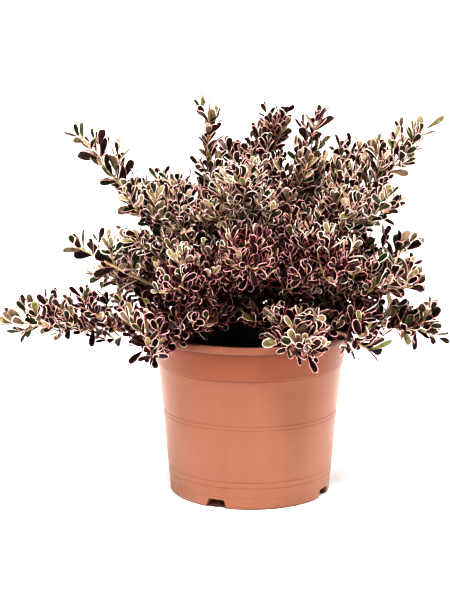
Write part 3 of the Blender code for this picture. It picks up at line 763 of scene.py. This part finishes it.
def add_leaf(row, origin, direction, facing, length, look, curve):
    """Place a leaf if its middle and tip are clear of the pot and its tip is inside the mass's
    limits; returns whether it grew."""
    tip = origin + direction * length
    middle = origin + direction * length * LEAF_MIDDLE
    if not (is_clear(tip) and is_clear(middle) and is_within(tip, row["limits"])):
        return False
    # Leaves in a patch of painted shade turn maroon with a wine or rose edge, fading out at its rim.
    if depth_in_painted_shade(middle) < rng.uniform(*PAINTED_SHADE_FADE):
        look = (MAROON, rng.choice((SHADED_WINE, ROSE)))
    across = direction.cross(facing)
    if across.length < LEAST_ACROSS:
        across = direction.orthogonal()
    across.normalize()
    face = across.cross(direction).normalized()
    width = length * rng.uniform(*LEAF_WIDTHS)
    place = Matrix((across * width, direction * length, face * length)).transposed().to_4x4()
    place.translation = origin
    leaves[row["side"]].append((place, curve, *look))
    return True


def add_leaf_pairs(row, path, first, spacing, length, opening_scale, tip_sizes):
    """Opposite pairs of leaves along a shoot from its share first on; returns how many grew."""
    grown = 0
    total = sum((b - a).length for a, b in zip(path, path[1:]))
    count = max(2, int(total * (1.0 - first) / spacing) + 1)
    turn = rng.uniform(0, math.tau)
    shoot_look = leaf_look(path[-1], 0.0)
    for k in range(count):
        at = (first + (1.0 - first) * k / (count - 1)) * (len(path) - 1)
        i = min(int(at), len(path) - 2)
        point = path[i].lerp(path[i + 1], at - i)
        along = (path[i + 1] - path[i]).normalized()
        out = Matrix.Rotation(turn + math.pi / 2 * k, 3, along) @ along.orthogonal().normalized()
        from_tip = count - 1 - k
        opening = PAIR_OPENINGS[min(from_tip, 3)] + rng.uniform(-OPENING_JITTER, OPENING_JITTER)
        size = length * tip_sizes[min(from_tip, 2)]
        for sign in (1.0, -1.0):
            lean = math.radians(opening) * opening_scale + rng.uniform(-LEAF_JITTER, LEAF_JITTER)
            direction = strayed(
                along * math.cos(lean) + out * sign * math.sin(lean) + UP * LEAF_LIFT, LEAF_STRAY)
            facing = strayed(along, FACE_STRAY)
            look = shoot_look
            if rng.random() < OWN_LOOK:
                look = leaf_look(point, TIP_YOUTH if from_tip < 2 else 0.0)
            if from_tip == 0 and rng.random() < FRESH_TIP:
                look = (FRESH, look[1])
            grown += add_leaf(
                row, point, direction, facing, size * rng.uniform(*LEAF_LENGTHS), look,
                rng.randrange(3))
    return grown


# A shoot's upward bend, its points and its radius at each of them, how it is cut back, where its
# leaves start, and where it forks if it is longer than each length. Then a fork's length, heading,
# radius and leaves, and how far a twig's leaves open and their sizes at its tip.
SHOOT_BEND = 0.34
SHOOT_POINTS = (0.0, 0.34, 0.67, 1.0)
SHOOT_TAPER = (1.0, 0.9, 0.8, 0.65)
CUT_BACK = 0.75
SHORTEST_SHOOT = 0.006
STUBBY_SHOOT = 0.012
STUBBY_FIRST = 0.5
SHOOT_FIRST = 0.28
FEWEST_LEAVES = 3
FORKS = ((0.030, (0.38, 0.62)), (0.020, (0.45,)), (0.0, ()))
FORK_LENGTHS = (0.75, 1.05)
LONGEST_FORK = 0.019
FORK_AHEAD = 0.72
FORK_OUT = 0.70
FORK_UP = 0.15
FORK_RADIUS = 0.8
FORK_LEAF = 0.94
TWIG_OPENING = 1.0
TWIG_TIP_SIZES = (0.74, 0.94, 1.0)


def shoot_path(start, heading, length):
    """Points of a shoot that leaves along heading and bends upwards."""
    return [start + heading * length * s + UP * SHOOT_BEND * length * s * s for s in SHOOT_POINTS]


def add_shoot(row, start, heading, length, radius, spacing, leaf):
    """One leafy shoot; a long one forks. It is cut back until it fits its space, and left out where
    it would be too short or almost bare."""
    path = shoot_path(start, heading, length)
    while length > SHORTEST_SHOOT and not all(
            is_clear(point) and is_within(point, row["limits"]) for point in path[2:]):
        length *= CUT_BACK
        path = shoot_path(start, heading, length)
    if length <= SHORTEST_SHOOT:
        return
    first = SHOOT_FIRST if length > STUBBY_SHOOT else STUBBY_FIRST
    grown = add_leaf_pairs(row, path, first, spacing, leaf, TWIG_OPENING, TWIG_TIP_SIZES)
    if grown < FEWEST_LEAVES:
        placed = leaves[row["side"]]
        del placed[len(placed) - grown:]
        return
    twig_tubes.append((path, [radius * taper for taper in SHOOT_TAPER]))
    for share in next(shares for least, shares in FORKS if length > least):
        fork = path[0].lerp(path[-1], share)
        roll = Matrix.Rotation(rng.uniform(0, math.tau), 3, heading)
        out = roll @ heading.orthogonal().normalized()
        way = (heading * FORK_AHEAD + out * FORK_OUT + UP * FORK_UP).normalized()
        reach = min(length * (1.0 - share) * rng.uniform(*FORK_LENGTHS), LONGEST_FORK)
        add_shoot(row, fork, way, reach, radius * FORK_RADIUS, spacing, leaf * FORK_LEAF)


# How far a mass may pass its CAD box: sideways, less where its spread is wide, and in height. A
# bough's direction is taken from a point this share of its path further on.
WIDE_SPREAD = 0.0405
WIDE_GROWTH = 0.002
NARROW_GROWTH = 0.008
HEIGHT_GROWTH = 0.002
AHEAD = 0.01

# Twigs on the leafy stretch of a bough: how far apart they spring, where the first one is and how
# much of the stretch they take up, how they lean and lift, their lengths as shares of the mass's
# spread, and the spacing and size of their leaves as shares of the mass's leaf length. On an airy
# mass they spring this many times further apart.
TWIG_STEP = 0.0046
TWIG_FIRST = 0.03
TWIG_RUN = 0.90
TWIG_REACH = 1.38
TWIG_TIP_REACH = 0.38
TWIG_LENGTHS = (0.62, 1.0)
TWIG_LEAN = math.radians(54.0)
SPIRAL_JITTER = 0.3
GOLDEN_ANGLE = math.radians(137.5)
TWIG_LIFTS = {
    "left": 0.55, "right": 0.55, "top": 0.55, "front": 0.30, "back_left": 0.20,
    "back_right": 0.20, "over_rim_right": -0.10, "front_low_right": 0.05,
    "front_left_low": 0.20, "low_left": 0.22}
AIRY = {
    "left_shoot": 2.0, "upper_left_long": 1.7, "top_left": 2.0, "top_right_shoot": 1.8,
    "upper_right_long": 1.2, "right_shoot": 1.8}
TWIG_RADIUS = 0.00085
TWIG_SPACING = 0.36
TWIG_LEAF = 0.84
TWIG_LEAF_GAIN = 0.22

# Inner twigs stand on the bare stretch of a bough, where that is short, and lean out steeply.
INNER_BELOW = 0.36
INNER_STEP = 0.0055
INNER_FIRST = 0.30
INNER_RUN = 0.70
INNER_LENGTHS = (0.018, 0.034)
INNER_AHEAD = 0.5
INNER_UP = 0.2
INNER_RADIUS = 0.0008
INNER_SPACING = 0.40
INNER_LEAF = 0.82


def mass_limits(row):
    """The corners of the space that a mass may fill: its CAD box, grown a little, and drawn out to
    its first twig."""
    low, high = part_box("foliage_" + row["name"])
    first = limb_point(row, INNER_FIRST * row["bare"])
    low = Vector([min(a, b) for a, b in zip(low, first)])
    high = Vector([max(a, b) for a, b in zip(high, first)])
    growth = WIDE_GROWTH if row["spread"] > WIDE_SPREAD else NARROW_GROWTH
    grow = Vector((growth, growth, HEIGHT_GROWTH))
    return low - grow, high + grow


def bough_frame(row, share, angle):
    """A point on a bough, the way along it there, and the way out from it at this angle round it."""
    point = limb_point(row, share)
    along = (limb_point(row, share + AHEAD) - point).normalized()
    out = Matrix.Rotation(angle, 3, along) @ along.orthogonal().normalized()
    return point, along, out


def grow_twigs(row, phase):
    """Twigs in a spiral round the leafy stretch of a bough, shorter towards its tip."""
    airy = AIRY.get(row["name"], 1.0)
    lift = TWIG_LIFTS.get(row["name"], TWIG_LIFTS[row["side"]])
    count = int(row["length"] * (row["tip"] - row["bare"]) / (TWIG_STEP * airy))
    for k in range(count):
        t = TWIG_FIRST + TWIG_RUN * (k / (count - 1)) ** ((1.0 + airy) / 2)
        point, along, out = bough_frame(
            row, row["bare"] + t * (row["tip"] - row["bare"]),
            phase + k * GOLDEN_ANGLE + rng.uniform(-SPIRAL_JITTER, SPIRAL_JITTER))
        heading = (along * math.cos(TWIG_LEAN) + out * math.sin(TWIG_LEAN) + UP * lift).normalized()
        reach = row["spread"] * TWIG_REACH * (1.0 + (TWIG_TIP_REACH - 1.0) * t)
        add_shoot(
            row, point, heading, reach * rng.uniform(*TWIG_LENGTHS), TWIG_RADIUS,
            row["leaf"] * TWIG_SPACING, row["leaf"] * (TWIG_LEAF + TWIG_LEAF_GAIN * t))


def grow_inner_twigs(row, phase):
    """Twigs in a spiral round the bare stretch of a bough, which fill the crown's inside."""
    count = int(row["length"] * row["bare"] * INNER_RUN / INNER_STEP)
    for k in range(count):
        share = row["bare"] * (INNER_FIRST + INNER_RUN * k / count)
        point, along, out = bough_frame(row, share, phase + k * GOLDEN_ANGLE)
        heading = (along * INNER_AHEAD + out + UP * INNER_UP).normalized()
        add_shoot(
            row, point, heading, rng.uniform(*INNER_LENGTHS), INNER_RADIUS,
            row["leaf"] * INNER_SPACING, row["leaf"] * INNER_LEAF)


# The leafy end of a bough itself: points along it, where its leaves start, and their spacing, which
# is wider on an airy mass, their size and how far they open.
BOUGH_END_STEPS = 12
BOUGH_END_FIRST = 0.10
BOUGH_SPACING = 0.38
AIRY_SPACING = 0.12
BOUGH_LEAF = 1.05
BOUGH_OPENING = 1.1
BOUGH_TIP_SIZES = (1.05, 1.12, 1.0)

for row in rows:
    row["limits"] = mass_limits(row)
    leafy = row["tip"] - row["bare"]
    bough_end = [
        limb_point(row, row["bare"] + leafy * i / BOUGH_END_STEPS)
        for i in range(BOUGH_END_STEPS + 1)]
    spacing = row["leaf"] * (BOUGH_SPACING + AIRY_SPACING * AIRY.get(row["name"], 1.0))
    add_leaf_pairs(
        row, bough_end, BOUGH_END_FIRST, spacing, row["leaf"] * BOUGH_LEAF, BOUGH_OPENING,
        BOUGH_TIP_SIZES)
    phase = rng.uniform(0, math.tau)
    grow_twigs(row, phase)
    if row["bare"] < INNER_BELOW:
        grow_inner_twigs(row, phase)

# Low shoots fill in round the rim, under the crown and at its back. Each one: its bough, the share
# along it where it springs, azimuth and rise in degrees, length. Those that point down may hang a
# little lower than their mass.
SHOOT_HANG = 0.012
LOW_RADIUS = 0.0010
LOW_SPACING = 0.38
LOW_LEAF = 0.90
LOW_SHOOTS = (
    ("front_left_low", 0.30, -85.0, 14.0, 0.050),
    ("front_left_low", 0.42, -98.0, 16.0, 0.046),
    ("front_left_low", 0.55, -112.0, 18.0, 0.040),
    ("front_left_low", 0.42, -76.0, 6.0, 0.056),
    ("front_left_low", 0.55, -78.0, 2.0, 0.050),
    ("front_left_low", 0.68, -95.0, -3.0, 0.040),
    ("front_low_right", 0.30, -112.0, 16.0, 0.046),
    ("front_low_right", 0.42, -125.0, 20.0, 0.034),
    ("front_low_right", 0.50, -92.0, 22.0, 0.040),
    ("right_low", 0.25, -30.0, 60.0, 0.036),
    ("right_low", 0.38, 10.0, 55.0, 0.034),
    ("low_right", 0.25, -20.0, 50.0, 0.036),
    ("over_rim_right", 0.35, -45.0, 35.0, 0.036),
    ("front_low_right", 0.70, -48.0, 2.0, 0.040),
    ("front_low_right", 0.80, -30.0, -4.0, 0.036),
    ("over_rim_right", 0.55, -60.0, 5.0, 0.036),
    ("back_low_right", 0.32, 80.0, 30.0, 0.040),
    ("back_low_right", 0.45, 70.0, 20.0, 0.040),
    ("back_low_mid", 0.40, 50.0, 15.0, 0.045),
    ("front_low_right", 0.90, -105.0, -35.0, 0.030),
    ("front_low_right", 0.98, -66.0, -40.0, 0.032),
    ("front_low_right", 0.85, -35.0, -36.0, 0.036),
    ("front_right", 0.30, -35.0, -6.0, 0.036),
    ("front_right", 0.42, -75.0, -8.0, 0.034),
    ("back_low_right", 0.30, 110.0, -4.0, 0.045),
    ("back_low_right", 0.40, 100.0, -8.0, 0.045),
    ("back_low_right", 0.50, 115.0, -14.0, 0.040),
)

for name, share, azimuth, rise, length in LOW_SHOOTS:
    row = next(row for row in rows if row["name"] == name)
    azimuth, rise = math.radians(azimuth), math.radians(rise)
    heading = sloping(Vector((math.cos(azimuth), math.sin(azimuth), 0.0)), rise)
    low, high = row["limits"]
    low_row = {**row, "limits": (low - UP * (SHOOT_HANG if rise < 0 else 0.0), high)}
    add_shoot(
        low_row, limb_point(row, share), heading, length, LOW_RADIUS, row["leaf"] * LOW_SPACING,
        row["leaf"] * LOW_LEAF)

twig_mesh = tube_mesh("twigs", twig_tubes, 0)
twig_mesh.materials.append(plain_finish(
    "young stem", (0.28, 0.175, 0.090), (0.54, 0.38, 0.21), scale=260.0, roughness=0.55,
    specular=0.4))
twigs = put_in_scene("leafy_twigs", twig_mesh)
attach(twigs, "root")
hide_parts(*["foliage_" + row["name"] for row in rows])


# Leaves: small, thick and glossy, shaped like a narrow spoon. The blade is maroon-black, brown, deep
# green, olive or tan, with a wine, rose, pink or cream edge and a dull dark red, brown or olive back.
# The wine edge is painted shade on the pink edge, and the rose edge is partly painted shade. Each
# is a closed, lens-thin skin in one of three curves. Each side of the crown is a piece of its own.
LEAF_ASPECT = 0.45
COLUMN_SHARES = (-1.0, -0.83, 0.0, 0.83, 1.0)
ROW_HEIGHTS = (0.0, 0.30, 0.60, 0.84, 0.96, 1.0)
ROW_WIDTHS = (0.14, 0.60, 1.00, 0.92, 0.54, 0.20)
LAST_COLUMN = len(COLUMN_SHARES) - 1
LAST_ROW = len(ROW_HEIGHTS) - 1
EDGE_SHARE = COLUMN_SHARES[3]
LEAF_SWELL = 0.020
TIP_ROUND = 0.02
LEAF_WELD = 0.0001

# Each curve: how far the tip bends back, and how deep the blade is cupped across.
LEAF_CURVES = ((0.10, 0.16), (-0.10, 0.10), (0.02, 0.26))


def leaf_skin():
    """The skin of one leaf, its face and its back welded all round: for each point its share of the
    half width, its share of the length and its lift, then the faces and each one's kind. The kinds
    are face, edge of the face, back, edge of the back."""
    bm = bmesh.new()
    for is_face in (True, False):
        made = bmesh.ops.create_grid(bm, x_segments=LAST_COLUMN, y_segments=LAST_ROW, size=1.0)["verts"]
        for vert in made:
            column = round((vert.co.x + 1.0) / 2 * LAST_COLUMN)
            level = round((vert.co.y + 1.0) / 2 * LAST_ROW)
            is_inside = 0 < column < LAST_COLUMN and 0 < level < LAST_ROW
            lift = LEAF_SWELL if is_inside else 0.0
            vert.co = Vector((COLUMN_SHARES[column], ROW_HEIGHTS[level], lift if is_face else -lift))
        for face in {face for vert in made for face in vert.link_faces}:
            face.material_index = 0 if is_face else 1
            if not is_face:
                face.normal_flip()
    bmesh.ops.remove_doubles(bm, verts=bm.verts, dist=LEAF_WELD)
    bmesh.ops.recalc_face_normals(bm, faces=bm.faces)
    bm.verts.ensure_lookup_table()
    points = np.array([vert.co for vert in bm.verts])
    faces = np.array([[vert.index for vert in face.verts] for face in bm.faces])
    kinds = []
    for face in bm.faces:
        centre = face.calc_center_median()
        is_edge = centre.y > ROW_HEIGHTS[-2] or abs(centre.x) > EDGE_SHARE
        kinds.append(face.material_index * 2 + is_edge)
    bm.free()
    return points, faces, np.array(kinds)


def curved(points, tip_curve, cup):
    """The points of a leaf of length 1, bent back along its length and cupped across its width."""
    share, height, lift = points.T
    half = LEAF_ASPECT / 2 * np.interp(height, ROW_HEIGHTS, ROW_WIDTHS)
    rounded_tip = height - np.where(height > ROW_HEIGHTS[-2], TIP_ROUND * np.abs(share), 0.0)
    bend = tip_curve * height ** 2 + cup * half * share ** 2
    return np.stack([share * half, rounded_tip, bend + lift], axis=1)


flat_points, skin_faces, skin_kinds = leaf_skin()
skin_points = np.stack([curved(flat_points, *curve) for curve in LEAF_CURVES])

# The blades and the edges in the order of their numbers among the twigs, then the backs: red behind
# maroon, dark behind chocolate and green, pale behind the rest.
LEAF_FINISHES = (
    ("maroon leaf", (0.004, 0.0015, 0.002), (0.012, 0.004, 0.005), 0.28),
    ("chocolate leaf", (0.010, 0.006, 0.004), (0.026, 0.016, 0.011), 0.30),
    ("green leaf", (0.007, 0.012, 0.004), (0.024, 0.036, 0.010), 0.30),
    ("olive leaf", (0.092, 0.080, 0.038), (0.205, 0.170, 0.086), 0.35),
    ("tan leaf", (0.185, 0.134, 0.082), (0.320, 0.235, 0.155), 0.38),
    ("fresh leaf", (0.058, 0.072, 0.018), (0.135, 0.140, 0.046), 0.40),
    ("shaded wine edge", (0.130, 0.034, 0.036), (0.280, 0.090, 0.090), 0.45),
    ("rose edge", (0.580, 0.270, 0.250), (0.780, 0.450, 0.420), 0.45),
    ("pink edge", (0.760, 0.470, 0.420), (0.900, 0.660, 0.600), 0.45),
    ("cream edge", (0.930, 0.790, 0.680), (0.970, 0.880, 0.790), 0.45),
    ("red leaf back", (0.018, 0.005, 0.006), (0.050, 0.013, 0.014), 0.50),
    ("dark leaf back", (0.014, 0.009, 0.007), (0.042, 0.027, 0.019), 0.50),
    ("pale leaf back", (0.075, 0.055, 0.034), (0.170, 0.125, 0.078), 0.50),
)
leaf_materials = [
    plain_finish(name, dark, light, scale=320.0, roughness=roughness, specular=0.07, grain_depth=0.0001)
    for name, dark, light, roughness in LEAF_FINISHES]
RED_BACK = len(LEAF_FINISHES) - 3

for side, placed in leaves.items():
    places, curves, blades, borders = [np.array(column) for column in zip(*placed)]
    points = np.einsum("nij,nvj->nvi", places[:, :3, :3], skin_points[curves])
    points += places[:, None, :3, 3]
    first_points = np.arange(len(placed))[:, None, None] * len(flat_points)
    faces = (skin_faces + first_points).reshape(-1, 4)
    backs = RED_BACK + (blades > MAROON) + (blades >= OLIVE)
    looks = np.stack([blades, borders, backs, borders], axis=1)
    mesh = bpy.data.meshes.new("leaves_" + side)
    mesh.from_pydata(points.reshape(-1, 3), [], faces.tolist())
    for finish in leaf_materials:
        mesh.materials.append(finish)
    mesh.polygons.foreach_set("material_index", looks[:, skin_kinds].reshape(-1).astype(np.int32))
    mesh.shade_smooth()
    mesh.update()
    piece = put_in_scene("leaves_" + side, mesh)
    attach(piece, "root")
    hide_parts(*["foliage_" + row["name"] for row in rows if row["side"] == side])


# The studio: a plain pale floor under a white sky, a large soft lamp from high in front and weaker
# ones low on the left and the right, and the camera a little above the plant, looking slightly down.
FLOOR_HALF = 40.0
SKY_STRENGTH = 0.27

# Each lamp: name, azimuth, elevation and softness in degrees, strength.
LAMPS = (
    ("key light", -84.0, 70.0, 20.0, 8.9),
    ("left light", 165.0, 26.0, 50.0, 2.6),
    ("right light", 15.0, 26.0, 50.0, 2.5),
)

# The camera's dip is in degrees, its lens and its sensor in millimetres.
CAMERA_PLACE = (-0.0237, -1.600, 0.489)
CAMERA_DIP = 10.87
FOCAL_LENGTH = 104.19
SENSOR_WIDTH = 36.0

bm = bmesh.new()
bmesh.ops.create_grid(bm, x_segments=1, y_segments=1, size=FLOOR_HALF)
floor_mesh = mesh_of("floor", bm)
floor_mesh.materials.append(plain_finish(
    "pale floor", (0.93, 0.93, 0.93), (0.96, 0.96, 0.96), scale=2.0, roughness=0.9, specular=0.1))
floor = put_in_scene("floor", floor_mesh)

sky = bpy.data.worlds.new("white sky")
sky.use_nodes = True
background = sky.node_tree.nodes["Background"]
background.inputs["Color"].default_value = (1.0, 1.0, 1.0, 1.0)
background.inputs["Strength"].default_value = SKY_STRENGTH
bpy.context.scene.world = sky
bpy.context.scene.view_settings.view_transform = "Standard"
bpy.context.scene.view_settings.look = "High Contrast"

for name, azimuth, elevation, softness, strength in LAMPS:
    light = bpy.data.lights.new(name, "SUN")
    light.angle = math.radians(softness)
    light.energy = strength
    lamp = put_in_scene(name, light)
    lamp.rotation_euler = (math.radians(90.0 - elevation), 0.0, math.radians(azimuth + 90.0))

camera_data = bpy.data.cameras.new("camera")
camera_data.lens = FOCAL_LENGTH
camera_data.sensor_width = SENSOR_WIDTH
camera = put_in_scene("camera", camera_data)
camera.location = CAMERA_PLACE
camera.rotation_euler = (math.radians(90.0 - CAMERA_DIP), 0.0, 0.0)
bpy.context.scene.camera = camera
